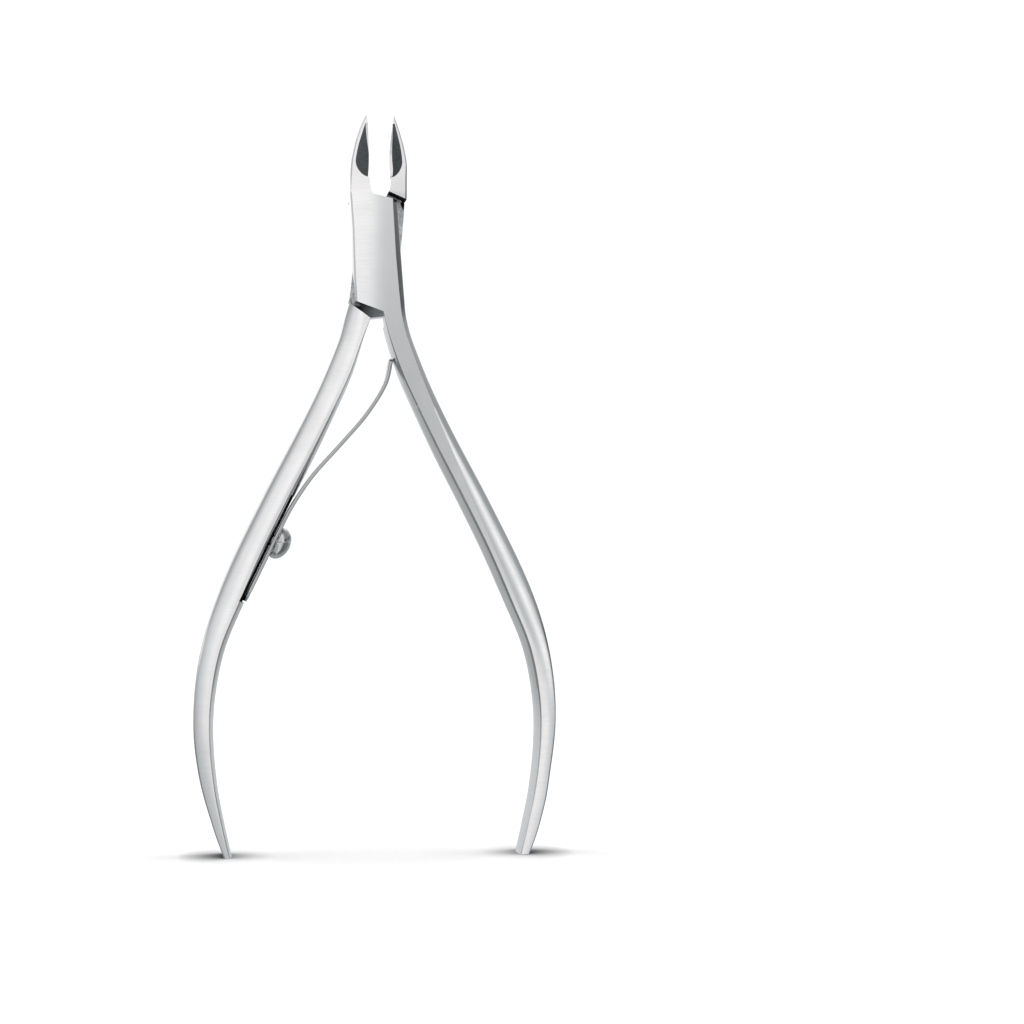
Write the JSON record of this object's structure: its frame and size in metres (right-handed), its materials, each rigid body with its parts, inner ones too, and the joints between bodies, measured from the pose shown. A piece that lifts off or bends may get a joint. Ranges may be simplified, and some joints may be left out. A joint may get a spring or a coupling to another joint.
{
  "type": "cuticle nipper",
  "caption": "Slim steel cuticle nipper with a flat lap joint, two bowed handles, pointed ground jaws and a leaf spring that opens it.",
  "frame": {"origin": "midway between the two handle tips, at their height, in the middle of the thickness, with the nipper resting open", "axes": "+X to the right seen from the front, +Y to the back, +Z from the handle tips to the jaws"},
  "size_m": [0.054, 0.006, 0.11],
  "materials": {
    "satin_steel": "fine brushed satin stainless steel, ground dark matte on the jaw facets",
    "rivet_steel": "machined steel, ground flush with the joint",
    "spring_steel": "smooth bright spring steel",
    "screw_steel": "polished steel"
  },
  "bodies": {
    "front_lever": {"front_lever": "satin_steel", "pivot_rivet": "rivet_steel"},
    "back_lever": {"back_lever": "satin_steel", "leaf_spring": "spring_steel", "spring_screw": "screw_steel"}
  },
  "joints": [
    {"name": "pivot", "type": "hinge", "parent": "front_lever", "child": "back_lever", "pos_m": [0.0004, 0, 0.0892], "axis": [0, -1, 0], "range_deg": [-4, 10.6], "stiffness_Nm_per_rad": 0.9, "deforming": ["leaf_spring"]}
  ]
}
